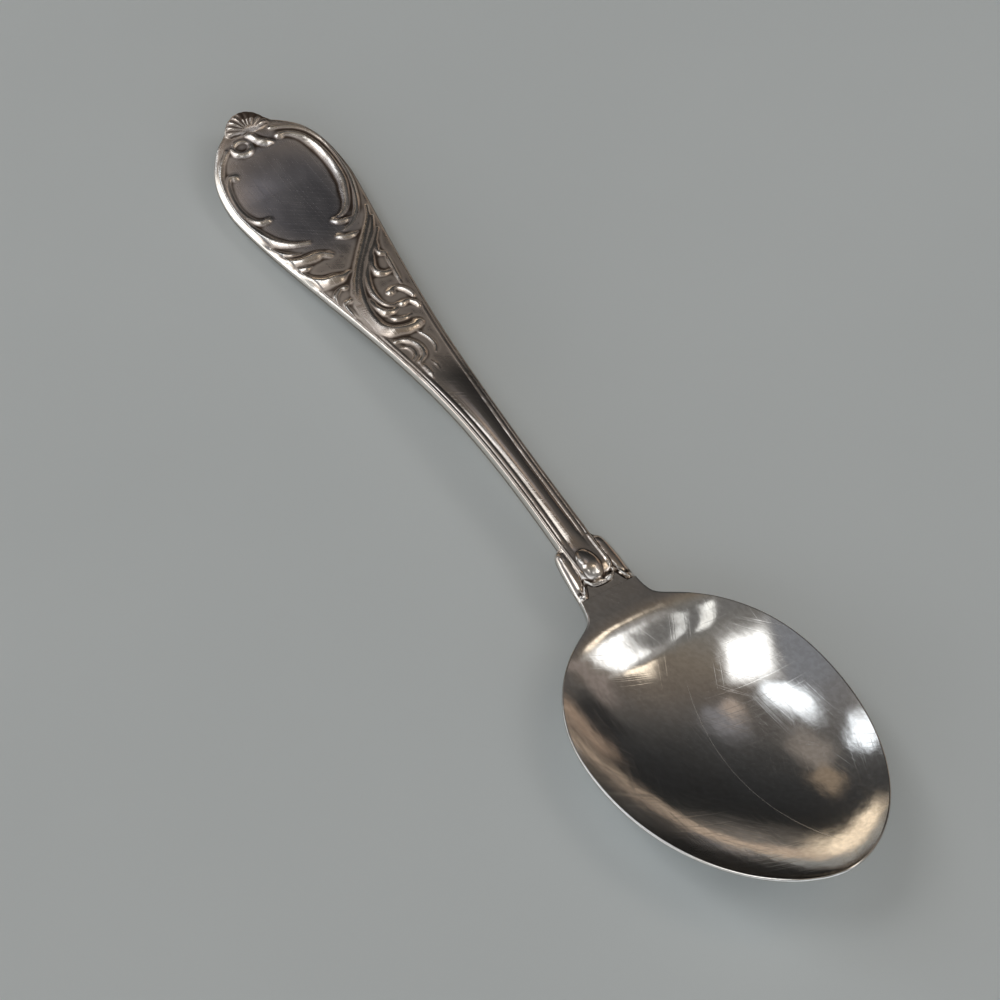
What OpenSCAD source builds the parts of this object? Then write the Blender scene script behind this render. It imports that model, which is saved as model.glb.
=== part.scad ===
// Tablespoon with a hollow, embossed rococo handle.
// It lies face up: X runs from the handle's tip to the bowl's tip, Z is up, and the table is Z = 0.
// All sizes are in millimetres. "s" is always the distance from the handle's tip along X.

/* [Handle outline] */
// Length from the tip of the shell to the end of the middle lip
handle_len = 132.5; // [118:0.5:150]
// Width of the broad end
end_w = 25.8; // [20:0.2:32]
// Distance from the tip to the widest place of the broad end
end_pos = 20; // [16:0.5:26]
// Width of the stem at its waist
waist_w = 6.5; // [4.8:0.1:8]
// Distance from the waist to the end of the middle lip
waist_back = 19.5; // [14:0.5:26]
// How much wider the stem is at the lips than at its waist
stem_flare = 0.4; // [0:0.1:2]
// Radius of the fan shell at the tip
shell_r = 5; // [4:0.1:6.5]
// How far the fan shell stands out beyond the broad end
shell_lead = 2.2; // [1.6:0.1:3]
// How far the fan shell leans to the near side
shell_lean = 0.8; // [0:0.1:1]

/* [Handle side view] */
// How far the tip turns up above the widest place
end_lift = 4.9; // [1:0.1:8]
// Height of the seam at the top of the stem's arch
arch_z = 9.4; // [7:0.1:14]
// Distance from the top of the arch to the end of the middle lip
arch_back = 38; // [28:0.5:50]
// Depth of the back half-shell below the seam at the widest place
end_back = 3.2; // [2.4:0.1:5]
// Depth of the back half-shell below the seam along the stem
stem_back = 2; // [1.6:0.1:3.2]
// Height of the front field above the seam at the broad end
end_front = 0.9; // [0.8:0.05:2]
// Height of the front field above the seam along the stem
stem_front = 1.3; // [1.2:0.05:2.4]

/* [Ornament] */
// Length of the scroll ornament from the tip
ornament_len = 80; // [66:1:92]
// Height of the scrolls above the field
scroll_h = 0.6; // [0.2:0.05:1]
// Number of ribs on the fan shell
shell_ribs = 10; // [6:1:14]
// Height of the fan shell above the seam
shell_front = 1.6; // [0.8:0.1:2]
// Height of the border threads above the field
thread_h = 0.3; // [0.1:0.05:0.5]
// Half the width of a border thread
thread_r = 0.42; // [0.3:0.02:0.6]
// Distance from the edge to the outer border thread
thread_in = 0.5; // [0.4:0.05:0.8]
// Distance between the two border threads
thread_pitch = 0.85; // [0.7:0.05:1]
// Height of the rounded rib between the border threads
rib_h = 0.35; // [0.1:0.05:0.6]

/* [Lips at the mouth] */
// Width over the two side lobes
collar_w = 11.4; // [10:0.2:15]
// Length of the side lobes behind the middle lip
lobe_back = 9.7; // [7:0.1:13]
// How far the side lobes reach beyond the middle lip
lobe_reach = 1.2; // [0.5:0.1:2]
// Depth of the notches between the middle lip and the side lobes
lip_notch = 1; // [0:0.1:1.5]
// Length of the raised drop behind the middle lip
drop_len = 7.2; // [5:0.2:10]
// Distance from the raised drop to the end of the middle lip
drop_gap = 1.4; // [0.4:0.1:3]
// Width of the raised drop
drop_w = 3.8; // [2.6:0.1:5]
// Height of the raised drop above the field
drop_h = 0.6; // [0.2:0.05:0.8]
// How far the stem stands above the side lobes at the middle lip
lip_step = 0.5; // [0.1:0.05:0.7]

/* [Bowl] */
// Length of the bowl from its neck to its tip
bowl_len = 67.1; // [55:0.1:80]
// Width of the bowl
bowl_w = 46.6; // [38:0.2:56]
// Distance from the neck to the widest place of the bowl
bowl_widest = 29.2; // [22:0.1:36]
// Depth of the bowl below its rim
bowl_depth = 8.2; // [6:0.1:12]
// How far the bowl's tip stands above its neck
rim_rise = 9.6; // [4:0.2:13]
// Thickness of the bowl's wall
bowl_wall = 1.2; // [0.8:0.05:2]
// Thickness of the bowl's rim
rim_t = 0.7; // [0.4:0.05:1]

/* [Neck and tang] */
// Length of the open neck between the middle lip and the bowl
neck_len = 5.4; // [4:0.1:8]
// Width of the neck where the bowl begins
neck_w = 13.6; // [11:0.2:17]
// Thickness of the neck
neck_t = 1.6; // [1:0.1:2.2]
// How far the neck falls from the lips to the bowl
neck_fall = 0.6; // [0.2:0.1:2]
// Length of the tang inside the handle
tang_len = 36; // [24:1:60]

/* [Walls and fits] */
// Depth of the worn flats that the bowl and the broad end rest on
rest_flat = 0.15; // [0.08:0.01:0.25]
// Thickness of the two half-shells
shell_wall = 0.6; // [0.4:0.05:0.7]
// Width of the soldered gap between the half-shells
seam_gap = 0.22; // [0.2:0.02:0.3]
// Clearance on each face of the solder, the cement and the neck
fit = 0.06; // [0.05:0.01:0.08]

/* [Hidden] */

// Solid metal between the cavity and the broad end's wall, and the gap from the cement to the lobes
tip_web = 0.5;
core_gap = 3;

// Places along the handle
total_len = handle_len + neck_len + bowl_len;
waist_pos = handle_len - waist_back;
arch_pos = handle_len - arch_back;
lobe_s = handle_len - lobe_back;
drop_s = handle_len - drop_gap - drop_len / 2;
shoulder_s = handle_len + lobe_reach + fit;
neck_s = handle_len + neck_len;
tang_s = handle_len - tang_len;
cavity_s = shell_lead + shell_wall + tip_web;
core_end_s = lobe_s - core_gap;

// Shape of the curves: exponents of the broad end, the taper, the arch and the bowl's egg outline
end_power = 2.7;
taper_power = [1.28, 2.38];
flare_power = 1.5;
lobe_power = 0.08;
arch_skew = 1.1;
mouth_power = 2.2;
egg_power = [2.26, 0.55];
keel_power = 1.6;
dish_power = 2.2;
rise_mix = 0.9;

// The neck's fillets into the bowl, and how softly the hollow opens from the lips on
neck_blend = 3;
neck_fade = [6, 0.3];
neck_open = 1.5;

// Where the neck's plate thins to the rim, and where its wall thins to the bowl's
plate_run = 6;
wall_run = 8;

// Sections of the half-shells: exponents of their rounded edges
front_edge = 3;
back_edge = 1.6;
cavity_edge = 8;
cavity_end = 4;
lobe_wall = 1.5;
cavity_round = [0.25, 0.05];
shell_edge = 3;
shell_base = [0.76, 0.44];
lobe_round = 1.2;
tang_fill = 0.78;
tang_tip = 0.62;
tang_lead = 3;
mouth_fill = 0.88;
core_fill = 0.95;
core_lead = 2.5;
core_round = [1.5, 4];
core_square = 0.5;
pocket_room = 1.12;
pocket_square = 0.2;

// Grids of the curved faces
front_cols = 28;
back_cols = 14;
cavity_cols = 7;
bowl_cols = 14;
ring_sides = 12;

function clamp01(t) = min(max(t, 0), 1);
function smooth(t) = let (c = clamp01(t)) c * c * (3 - 2 * c);
function mix(a, b, t) = a + (b - a) * t;
function flatten(rows) = [for (row = rows) each row];

// Outline of the handle: half its width at s
function end_reach(s) = pow(clamp01((end_pos - s) / (end_pos - shell_lead)), end_power);
function taper_half(s) =
    let (t = clamp01((s - end_pos) / (waist_pos - end_pos)))
    let (flare = pow(clamp01((s - waist_pos) / waist_back), flare_power))
    waist_w / 2 + (end_w - waist_w) / 2 * pow(1 - pow(t, taper_power[0]), taper_power[1])
        + stem_flare / 2 * flare;
function stem_half(s) = s < end_pos ? end_w / 2 * sqrt(1 - end_reach(s)) : taper_half(s);
function shell_half(s) = s < shell_r ? sqrt(max(0, pow(shell_r, 2) - pow(s - shell_r, 2))) : 0;
function lobe_half(s) =
    s <= lobe_s ? 0 : collar_w / 2 * pow(clamp01((s - lobe_s) / (lobe_back + lobe_reach)), lobe_power);
function handle_half(s) = max(stem_half(s), shell_half(s), lobe_half(s));

// Outline of the bowl: half its width at s, from the neck on
function bowl_t(s) = clamp01((s - neck_s) / bowl_len);
function egg_half(s) =
    let (widest = bowl_widest / bowl_len)
    let (t = bowl_t(s))
    bowl_w / 2 * (t < widest
        ? sqrt(1 - pow(1 - t / widest, egg_power[0]))
        : pow(max(0, 1 - pow((t - widest) / (1 - widest), 2)), egg_power[1]));
function neck_half(s) =
    let (fade = pow(clamp01(1 - neck_fade[0] * bowl_t(s)), neck_fade[1]))
    mix(collar_w / 2, neck_w / 2, smooth((s - shoulder_s) / (neck_s - shoulder_s))) * fade;
function bowl_half(s) = pow(pow(egg_half(s), neck_blend) + pow(neck_half(s), neck_blend), 1 / neck_blend);

// The bowl's rim and keel. The bowl sits so that its keel is worn flat on the table.
function rim_lift(s) = let (t = bowl_t(s)) rim_rise * mix(t, t * t, rise_mix);
function bowl_dish(s) =
    let (u = clamp01((s - shoulder_s) / (neck_s + bowl_widest - shoulder_s)))
    bowl_depth * (u < 1
        ? pow(1 - pow(1 - u, egg_power[0]), neck_open)
        : pow(2 * bowl_half(s) / bowl_w, keel_power));
egg_rows = 30;
egg_bunch = [1.7, 2, 1.4];
tip_share = 0.00001;
tip_half = 0.1;
egg_s = [for (i = [1:egg_rows])
    let (u = i / egg_rows)
    neck_s + bowl_len * (1 - tip_share)
        * mix(pow(u, egg_bunch[0]), 1 - pow(1 - u, egg_bunch[1]), smooth(egg_bunch[2] * u))];
neck_z = bowl_wall - rest_flat - min([for (s = egg_s) rim_lift(s) - bowl_dish(s)]);
mouth_z = neck_z - neck_t / 2 + neck_fall;

// Height of the seam: it dips to the table at the widest place, arches over the stem and falls to the neck
seat_z = end_back + seam_gap / 2 - rest_flat;
function seam_z(s) =
    s < end_pos ? seat_z + end_lift * pow((end_pos - s) / end_pos, 2)
    : s < arch_pos ? mix(seat_z, arch_z, smooth(pow((s - end_pos) / (arch_pos - end_pos), arch_skew)))
    : s < handle_len ? mix(arch_z, mouth_z, pow((s - arch_pos) / arch_back, mouth_power))
    : mouth_z - neck_fall * (s - handle_len) / neck_len;

// Heights of the half-shells and of the cavity above and below the seam
mouth_half_t = neck_t / 2 + fit;
mouth_lead = 2;
mouth_run = lobe_back + 1;
function mouth_share(s) = smooth((s - lobe_s + mouth_lead) / mouth_run);
function stem_share(s) =
    s < end_pos ? 0 : clamp01((end_w - 2 * taper_half(min(s, waist_pos))) / (end_w - waist_w));
function front_h(s) =
    mix(mix(end_front, stem_front, stem_share(s)), mouth_half_t + shell_wall + lip_step, mouth_share(s));
function back_h(s) = mix(mix(end_back, stem_back, stem_share(s)), mouth_half_t + shell_wall, mouth_share(s));
function cavity_front(s) = mix(front_h(s) - shell_wall, mouth_half_t, mouth_share(s));
function cavity_back(s) = mix(back_h(s) - shell_wall, mouth_half_t, mouth_share(s));
function cavity_half(s) =
    s < end_pos ? stem_half(s - shell_wall) - shell_wall
    : max(stem_half(s), lobe_half(s - lobe_wall * shell_wall)) - shell_wall;
function cavity_share(s, y) =
    let (closing = 1 - pow(clamp01((end_pos - s) / (end_pos - cavity_s)), cavity_end))
    let (across = 1 - pow(min(1, abs(y) / cavity_half(s)), cavity_edge))
    sqrt(closing) * pow(max(0, across), mix(cavity_round[0], cavity_round[1], mouth_share(s)));

// Fill of a section by its distance to the outline: 0 at the edge, 1 inside
function stem_fill(s, y, edge) =
    let (f = s < end_pos ? end_reach(s) + pow(2 * y / end_w, 2) : pow(y / stem_half(s), 2))
    sqrt(max(0, 1 - pow(f, edge)));
function shell_fill(s, y) =
    let (fade = 1 - smooth((s / shell_r - shell_base[0]) / shell_base[1]))
    fade * sqrt(max(0, 1 - pow(norm([s - shell_r, y]) / shell_r, shell_edge)));
function lobe_fill(s, y, edge) =
    s <= lobe_s ? 0
    : sqrt(max(0, 1 - pow(y / lobe_half(s), 2 * edge))) * sqrt(clamp01((s - lobe_s) / lobe_round));

// Scrolls: half width, share of scroll_h, and points as [s on an 80 mm pattern, percent of the half width]
drawn_len = 80;
SCROLLS = [
    // Double C-scroll on the far side of the cartouche, each line ending in a hook
    [0.95, 1, [[7.7, 40], [7.6, 55], [9.5, 69], [18, 74], [27, 64], [30.4, 42], [31.5, 25], [32.4, 42]]],
    [0.7, 0.9, [[5.3, 45], [8, 80], [17, 90], [27, 80], [33.8, 52], [35.1, 25], [36, 13], [36.6, 36]]],
    // Rim scroll and inner C-scroll on the near side
    [1, 1, [[6.5, -70], [10, -88], [20, -95], [29, -87], [33.3, -60], [34.6, -37]]],
    [0.8, 0.9, [[12.3, -66], [14, -85], [18, -88], [22, -86], [24, -66]]],
    // Leaves that sweep in from the near rim
    [0.8, 0.9, [[34, -101], [37.2, -86], [38.4, -55], [39.5, -24]]],
    [1.1, 1, [[40.5, -102], [44.5, -85], [46, -55], [45.8, -18]]],
    // Buds under the shell
    [1, 1, [[6.6, -60], [8, -49], [8.8, -35], [8.5, -24], [7.6, -20]]],
    [0.6, 0.9, [[7.6, -19], [6.3, -22], [5.6, -34], [5.7, -49], [6.4, -56]]],
    [1.2, 1, [[5.6, -5], [6.6, -2], [7.8, 8], [8.5, 20]]],
    // The S-shaped spine and its leaves
    [0.7, 0.8, [[31, 92], [39, 55], [47, -8], [55, -62], [61.5, -80]]],
    [1.1, 1, [[34, 92], [42, 45], [50, -18], [58, -56], [63.8, -40], [65, 25]]],
    [0.7, 0.8, [[37.5, 88], [45, 34], [52, -10], [57.5, -3], [58.2, 25]]],
    [0.8, 0.9, [[53.5, -26], [56.5, -32], [59.4, -15], [59.2, 14]]],
    // Small C-scrolls and curls of the far field
    [0.75, 0.9, [[44.5, 44], [47.5, 30], [49.8, 42], [49.9, 56]]],
    [0.6, 0.8, [[55, 27], [54.4, 42], [56, 66], [59, 76]]],
    [0.6, 0.8, [[58.7, 36], [58.8, 56], [61, 74]]],
    // Raised crescent and bud where the stem begins
    [0.9, 1, [[67, -68], [67.2, -25], [69.8, -10], [72.5, -30]]],
    [0.7, 0.9, [[74, -55], [75, -30], [77, 0]]],
];
scroll_steps = 4;

function pattern_point(q) =
    let (s = q[0] * ornament_len / drawn_len)
    [s, q[1] / 100 * stem_half(s)];
function spline_point(a, b, c, d, t) =
    (2 * b + (c - a) * t + (2 * a - 5 * b + 4 * c - d) * t * t + (3 * b - a - 3 * c + d) * t * t * t) / 2;
function spline(p) = [
    for (i = [0:len(p) - 2], k = [0:scroll_steps - 1])
        spline_point(p[max(i - 1, 0)], p[i], p[i + 1], p[min(i + 2, len(p) - 1)], k / scroll_steps),
    p[len(p) - 1]];
SCROLL_LINES = [for (c = SCROLLS)
    let (line = spline([for (q = c[2]) pattern_point(q)]))
    let (x = [for (p = line) p[0]], y = [for (p = line) p[1]])
    [c[0], c[1], line, [min(x) - c[0], max(x) + c[0], min(y) - c[0], max(y) + c[0]]]];

function line_distance(p, a, b) =
    let (t = clamp01((p - a) * (b - a) / ((b - a) * (b - a))))
    norm(p - a - t * (b - a));
function ridge(distance, half) = sqrt(max(0, 1 - pow(distance / half, 2)));
function scroll_at(p, c) =
    let (box = c[3])
    p[0] < box[0] || p[0] > box[1] || p[1] < box[2] || p[1] > box[3] ? 0
    : c[1] * ridge(min([for (i = [1:len(c[2]) - 1]) line_distance(p, c[2][i - 1], c[2][i])]), c[0]);
function scrolls_at(s, y) =
    s > ornament_len ? 0 : scroll_h * max([for (c = SCROLL_LINES) scroll_at([s, y], c)]);

// Border threads and rounded rib of the stem, and the drop behind the middle lip.
// The threads and the rib begin at these shares of the ornament's length.
thread_start = 0.68;
thread_run = 0.08;
rib_start = 0.95;
rib_run = 0.15;
rib_half_min = 0.2;
function thread_at(s, y) =
    let (inward = stem_half(s) - abs(y) - thread_in)
    let (start = smooth((s / ornament_len - thread_start) / thread_run))
    start * thread_h * max(ridge(inward, thread_r), ridge(inward - thread_pitch, thread_r));
function rib_at(s, y) =
    let (half = stem_half(s) - thread_in - thread_pitch - thread_r)
    smooth((s / ornament_len - rib_start) / rib_run) * rib_h * max(0, 1 - pow(y / max(half, rib_half_min), 2));
function drop_at(s, y) =
    drop_h * sqrt(max(0, 1 - pow((s - drop_s) / drop_len * 2, 2) - pow(2 * y / drop_w, 2)));
function relief(s, y) = max(scrolls_at(s, y), thread_at(s, y), rib_at(s, y), drop_at(s, y));

// Outer faces of the half-shells, measured from the seam. The shell's ribs fan out from a point behind it.
rib_share = 0.14;
fan_back = 0.2;
lip_round = 1.5;
shell_back = 0.6;
function front_rise(s, y) =
    let (ribs = 1 - rib_share + rib_share * cos(2 * shell_ribs * atan2(y, shell_r - s + fan_back)))
    let (lip = 1 - smooth((s - handle_len + lip_round) / lip_round))
    let (field = stem_fill(s, y, front_edge))
    max(front_h(s) * field + relief(s, y) * min(1, 2 * field) * lip,
        shell_front * shell_fill(s, y) * ribs,
        (mouth_half_t + shell_wall) * lobe_fill(s, y, front_edge));
function back_drop(s, y) =
    max(back_h(s) * stem_fill(s, y, back_edge),
        shell_back * end_back * shell_fill(s, y),
        (mouth_half_t + shell_wall) * lobe_fill(s, y, front_edge));

// Rows along the handle. The last rows bend into the lips.
tip_gap = 0.01;
function span(a, b, n) = [for (i = [1:n]) a + (b - a) * i / n];
shell_rows = 6;
front_rows = concat(
    [for (i = [0:shell_rows]) tip_gap + (shell_r - tip_gap) * (1 - cos(90 * i / shell_rows))],
    span(shell_r, end_pos, 14), span(end_pos, ornament_len, 60), span(ornament_len, lobe_s, 10),
    span(lobe_s, lobe_s + lobe_round, 4), span(lobe_s + lobe_round, handle_len, 9));
last_row = len(front_rows) - 1;
back_rows = [for (i = [0:last_row]) if (i < shell_rows || i % 2 == 0 || i == last_row) front_rows[i]];
lip_zone = 4;
notch_y = 0.8 * drop_w;
notch_r = 0.6;
lobe_run = 1.5;
function lip_share(s) = smooth((s - handle_len + lip_zone) / lip_zone);
function front_lip(y) =
    lobe_reach * smooth((abs(y) - notch_y) / lobe_run)
        - lip_notch * exp(-pow((abs(y) - notch_y) / notch_r, 2));
function lean(s) = shell_lean * (1 - smooth((s - shell_r / 2) / shell_r));
function across(cols) = [for (j = [0:cols]) sin(90 * (2 * j / cols - 1))];
function cavity_row(s) = cavity_s + s * (1 - cavity_s / handle_len);

// Grids of points: rows along the handle, columns across it
function outer_grid(rows, cols, side) = [for (row = rows) [for (v = across(cols))
    let (lip = side > 0 ? front_lip(v * collar_w / 2) : lobe_reach)
    let (s = row + lip_share(row) * lip)
    let (y = v * handle_half(s))
    let (h = side > 0 ? front_rise(s, y) : back_drop(s, y))
    [s, y - lean(s), max(0, seam_z(s) + side * (seam_gap / 2 + h))]]];
function cavity_grid(rows, side) = [for (row = rows) [for (v = across(cavity_cols))
    let (lip = side > 0 ? front_lip(v * collar_w / 2) : lobe_reach)
    let (s = cavity_row(row) + lip_share(row) * lip)
    let (y = v * cavity_half(s))
    let (h = side > 0 ? cavity_front(s) : cavity_back(s))
    [s, y, seam_z(s) + side * (seam_gap / 2 + h * cavity_share(s, y))]]];

// A closed solid between an upper and a lower grid with the same rows
function triangle(a, b, c, flip) = flip ? [a, c, b] : [a, b, c];
function patch_faces(first, rows, cols, flip) = [for (i = [0:rows - 2], j = [0:cols - 2])
    let (a = first + i * cols + j)
    each [triangle(a, a + 1, a + cols, flip), triangle(a + 1, a + cols + 1, a + cols, flip)]];
function zip_faces(p, q, flip) =
    let (k = (len(p) - 1) / (len(q) - 1))
    [for (m = [0:len(q) - 2]) each concat(
        [for (e = [0:k - 1]) triangle(p[m * k + e], q[m], p[m * k + e + 1], flip)],
        [triangle(p[(m + 1) * k], q[m], q[m + 1], flip)])];
function join_faces(p, q, flip) = len(p) >= len(q) ? zip_faces(p, q, flip) : zip_faces(q, p, !flip);
module between(upper, lower) {
    rows = len(upper);
    cu = len(upper[0]);
    cl = len(lower[0]);
    base = rows * cu;
    up_row = function (i) [for (j = [0:cu - 1]) i * cu + j];
    low_row = function (i) [for (j = [0:cl - 1]) base + i * cl + j];
    up_side = function (j) [for (i = [0:rows - 1]) i * cu + j];
    low_side = function (j) [for (i = [0:rows - 1]) base + i * cl + j];
    polyhedron(
        points = concat(flatten(upper), flatten(lower)),
        faces = concat(
            patch_faces(0, rows, cu, false),
            patch_faces(base, rows, cl, true),
            join_faces(up_row(0), low_row(0), false),
            join_faces(up_row(rows - 1), low_row(rows - 1), true),
            join_faces(up_side(cu - 1), low_side(cl - 1), false),
            join_faces(up_side(0), low_side(0), true)));
}

// A closed solid through a row of rings that all have the same number of points.
// The first "turned" spans have their quads split along the other diagonal.
module through(rings, turned = 0) {
    n = len(rings[0]);
    last = (len(rings) - 1) * n;
    polyhedron(
        points = flatten(rings),
        faces = concat(
            [for (r = [0:len(rings) - 2], k = [0:n - 1])
                let (a = r * n + k, b = r * n + (k + 1) % n)
                each r < turned ? [[a, a + n, b + n], [a, b + n, b]] : [[a, a + n, b], [b, a + n, b + n]]],
            [for (k = [1:n - 2]) [0, k, k + 1]],
            [for (k = [1:n - 2]) [last, last + k + 1, last + k]]));
}

module at_rest() {
    translate([-total_len / 2, 0, 0]) children();
}

// The tang, neck and bowl as stations along X, each with its half width
function tang_taper(s) = mix(tang_tip, 1, smooth((s - tang_s) / (core_end_s - tang_s)));
function tang_half(s) =
    let (spread = smooth((s - lobe_s - tang_lead) / (lobe_back - tang_lead)))
    let (room = mix(stem_half(s), lobe_half(handle_len), spread) - shell_wall)
    mix(tang_fill, mouth_fill, mouth_share(s)) * room * tang_taper(s);
function tang_mid(s) = s > handle_len ? 0 : (cavity_front(s) - cavity_back(s)) / 2;
function tang_half_t(s) =
    s > handle_len ? neck_t / 2
    : mix(tang_fill * (cavity_front(s) + cavity_back(s)) / 2 * tang_taper(s), neck_t / 2, mouth_share(s));
tang_steps = 5;
tang_rows = concat([tang_s], span(tang_s, core_end_s, tang_steps), span(core_end_s, handle_len, 8),
    [shoulder_s - fit]);
neck_rows = concat([shoulder_s], span(shoulder_s, neck_s, 3));
bowl_line = concat(
    [for (s = tang_rows) [s, tang_half(s)]],
    [for (s = neck_rows) [s, bowl_half(s)]],
    [for (s = egg_s) [s, bowl_half(s)]]);
function bowl_normal(i) =
    let (a = bowl_line[max(i - 1, 0)], b = bowl_line[min(i + 1, len(bowl_line) - 1)])
    let (t = (b - a) / norm(b - a))
    [-t[1], t[0]];

function plate_share(s) = 1 - smooth((s - shoulder_s) / (neck_s + plate_run - shoulder_s));
function rim_z(s) = s < neck_s ? seam_z(s) + tang_mid(s) + tang_half_t(s) : neck_z + rim_lift(s);
function upper_z(s, v) = rim_z(s) - bowl_dish(s) * (1 - pow(abs(v), dish_power));
function lower_z(s, v) =
    let (plate = 2 * tang_half_t(s))
    let (share = s < shoulder_s ? 1 : plate_share(s))
    let (wall = mix(bowl_wall, plate, s < neck_s ? 1 : 1 - smooth((s - neck_s) / wall_run)))
    let (edge = mix(rim_t, plate, share))
    rim_z(s) - edge - (bowl_dish(s) + wall - edge) * (1 - pow(abs(v), dish_power));

// Bowl, neck and tang in one forging
module bowl() {
    columns = [for (j = [0:bowl_cols]) 2 * j / bowl_cols - 1];
    count = len(bowl_line);
    upper = [for (i = [0:count - 1])
        let (p = bowl_line[i], n = bowl_normal(i))
        let (inset = p[0] < shoulder_s ? 0 : rim_t * (1 - plate_share(p[0])))
        let (q = p - inset * n)
        [for (v = columns) [q[0], v * max(q[1], tip_half), upper_z(p[0], v)]]];
    lower = [for (p = bowl_line) [for (v = columns) [p[0], v * p[1], max(0, lower_z(p[0], v))]]];
    color("gainsboro") at_rest() between(upper, lower);
}

// Embossed front half of the handle
module handle_front() {
    color("rosybrown") at_rest()
        between(outer_grid(front_rows, front_cols, 1), cavity_grid(front_rows, 1));
}

// Plain domed back half of the handle
module handle_back() {
    color("silver") at_rest()
        between(cavity_grid(back_rows, -1), outer_grid(back_rows, back_cols, -1));
}

// Solder line round the rims, from one side of the mouth round the tip to the other
module seam_solder() {
    outer = outer_grid(back_rows, 1, -1);
    inner = cavity_grid(back_rows, -1);
    last = len(back_rows) - 1;
    path = concat(
        [for (i = [last:-1:0]) [outer[i][0], inner[i][0]]],
        [for (i = [0:last]) [outer[i][1], inner[i][cavity_cols]]]);
    half = seam_gap / 2 - fit;
    level = function (p, dz) [p[0], p[1], seam_z(p[0]) + dz];
    rings = [for (p = path)
        [level(p[0], -half), level(p[0], half), level(p[1], half), level(p[1], -half)]];
    color("dimgray") at_rest() through(rings, last);
}

// Cement filling of the handle, with the pocket that holds the tang
module cement_core() {
    angles = [for (k = [0:ring_sides - 1]) 360 * k / ring_sides];
    squared = function (x, power) sign(x) * pow(abs(x), power);
    ring = function (s, half, up, down, power) [for (a = angles)
        let (z = squared(sin(a), power))
        [s, half * squared(cos(a), power), seam_z(s) + (z > 0 ? up : down) * z]];
    first = cavity_s + core_lead;
    outside = concat([first, first + core_round[0], first + core_round[1]],
        span(first + core_round[1], end_pos, 4), span(end_pos, core_end_s, 20));
    filling = [for (s = outside)
        let (end = core_fill * sqrt(1 - pow(clamp01((end_pos - s) / (end_pos - cavity_s)), cavity_end)))
        ring(s, core_fill * cavity_half(s) - fit, cavity_front(s) * end - fit, cavity_back(s) * end - fit,
            core_square)];
    pocket = [for (i = [tang_steps:-1:-1])
        let (s = tang_rows[max(i, 0)])
        let (t = pocket_room * tang_half_t(s) + fit)
        ring(i < 0 ? s - 2 * fit : s, pocket_room * tang_half(s) + fit, t + tang_mid(s), t - tang_mid(s),
            pocket_square)];
    color("saddlebrown") at_rest() through(concat(filling, pocket));
}

bowl();
handle_front();
handle_back();
seam_solder();
cement_core();
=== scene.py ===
import math

import bmesh
import bpy
import numpy as np
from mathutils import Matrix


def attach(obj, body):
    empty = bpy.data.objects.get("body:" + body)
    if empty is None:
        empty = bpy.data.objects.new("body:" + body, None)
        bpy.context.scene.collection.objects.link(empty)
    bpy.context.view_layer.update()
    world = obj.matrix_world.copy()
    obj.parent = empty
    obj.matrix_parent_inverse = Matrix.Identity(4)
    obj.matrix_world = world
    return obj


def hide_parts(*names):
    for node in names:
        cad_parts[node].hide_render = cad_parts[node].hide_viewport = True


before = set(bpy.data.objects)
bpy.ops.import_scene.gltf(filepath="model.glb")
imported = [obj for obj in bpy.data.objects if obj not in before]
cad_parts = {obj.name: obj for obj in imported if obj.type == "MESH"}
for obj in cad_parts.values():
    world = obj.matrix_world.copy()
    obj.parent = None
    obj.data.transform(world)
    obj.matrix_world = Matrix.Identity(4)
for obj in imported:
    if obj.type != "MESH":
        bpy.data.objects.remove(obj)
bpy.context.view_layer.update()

# Bowl, neck and tang
# One silver forging: an egg-shaped bowl with a rounded rim, a flat neck, and a tang inside the handle.
# Its hollow was planished and polished, and years of use left hairline scratches along it.
MM = 0.001

# Lengths are in millimetres. A name that ends in S or POS is a distance from the handle's tip,
# and one that ends in CURVE is an exponent.
HANDLE_LEN = 132.5
NECK_LEN = 5.4
BOWL_LEN = 67.1
TOTAL_LEN = HANDLE_LEN + NECK_LEN + BOWL_LEN
NECK_S = HANDLE_LEN + NECK_LEN
BOWL_W = 46.5
BOWL_WIDEST = 29.2
EGG_BACK_CURVE = 2.26
EGG_FRONT_CURVE = 0.55
BOWL_DEPTH = 8.2
HOLLOW_CURVE = 2.2
DISH_S = 137.5
DISH_BACK_CURVE = 2.6
DISH_FRONT_CURVE = 1.6
DISH_STEP_S = 139.3
DISH_STEP_LEN = 8.5
DISH_STEP_SHARE = 0.27
RIM_RISE = 9.58
RIM_BOW = 0.9
RIM_SOFT = 0.03
BOWL_WALL = 1.2
WALL_RUN = 8
RIM_T = 0.7
RIM_ROUND = 0.36
NECK_W = 12.2
NECK_T = 1.6
NECK_FALL = 0.6
NECK_Z = 7.6340
NECK_BEND = 3
NECK_SOFT = 1.2
NECK_MERGE = 6
NECK_FADE_CURVE = 0.67
PLATE_RUN = 6
TANG_LEN = 36
TANG_S = HANDLE_LEN - TANG_LEN
TANG_FILL = 0.78
TANG_TIP = 0.62
TANG_LEAD = 3
TANG_ROUND = 0.15
MOUTH_FILL = 0.88
COLLAR_W = 11.4
LOBE_BACK = 9.7
LOBE_REACH = 1.2
LOBE_CURVE = 0.08
LIP_STEP = 0.5
LOBE_S = HANDLE_LEN - LOBE_BACK
FIT = 0.06
SHOULDER_S = HANDLE_LEN + LOBE_REACH + FIT
CORE_GAP = 3
CORE_END_S = LOBE_S - CORE_GAP
REST_FLAT = 0.15
END_W = 25.76
END_POS = 20
END_CURVE = 2.7
WAIST_W = 6.5
WAIST_BACK = 19.5
WAIST_POS = HANDLE_LEN - WAIST_BACK
TAPER_START_CURVE = 1.28
TAPER_END_CURVE = 2.38
STEM_FLARE = 0.4
FLARE_CURVE = 1.5
SHELL_LEAD = 2.2
END_LIFT = 4.9
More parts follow.
